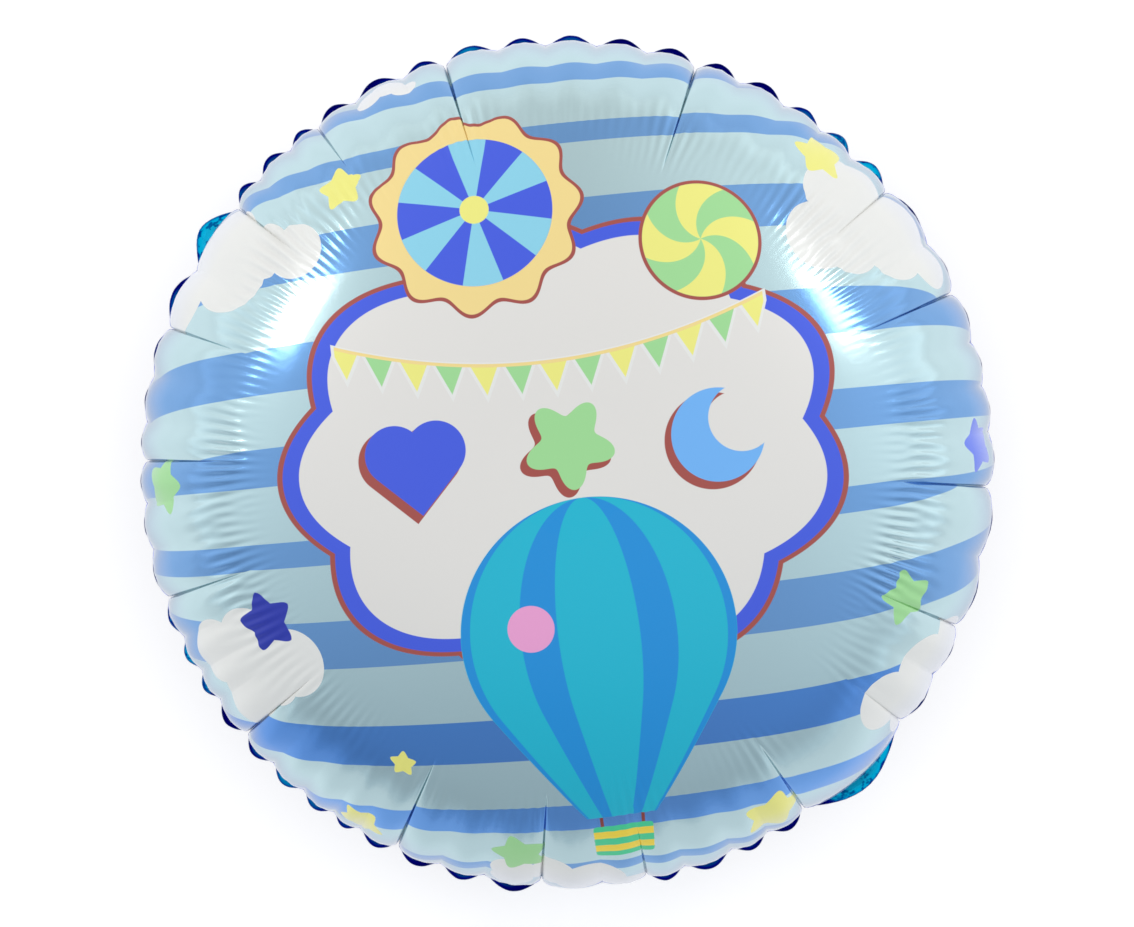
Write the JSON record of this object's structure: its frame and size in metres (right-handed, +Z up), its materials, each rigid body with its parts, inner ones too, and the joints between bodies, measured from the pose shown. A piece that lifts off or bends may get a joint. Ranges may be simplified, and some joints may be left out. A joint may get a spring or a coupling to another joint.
{
  "type": "foil balloon",
  "caption": "Round inflated foil balloon, printed in front and plain blue behind, with a crimped welded edge and its inflation tail folded behind.",
  "frame": {"origin": "middle of the flat spot on the back sheet that the balloon rests on", "axes": "+Z up through the middle of the printed front sheet, +Y towards the top of the print, away from the inflation tail"},
  "size_m": [0.3517, 0.3502, 0.1817],
  "materials": {
    "printed_film": "satin printed metallised film",
    "blue_film": "glossy metallic blue film"
  },
  "bodies": {
    "root": {"front_foil": "printed_film", "back_foil": "blue_film"}
  },
  "joints": []
}
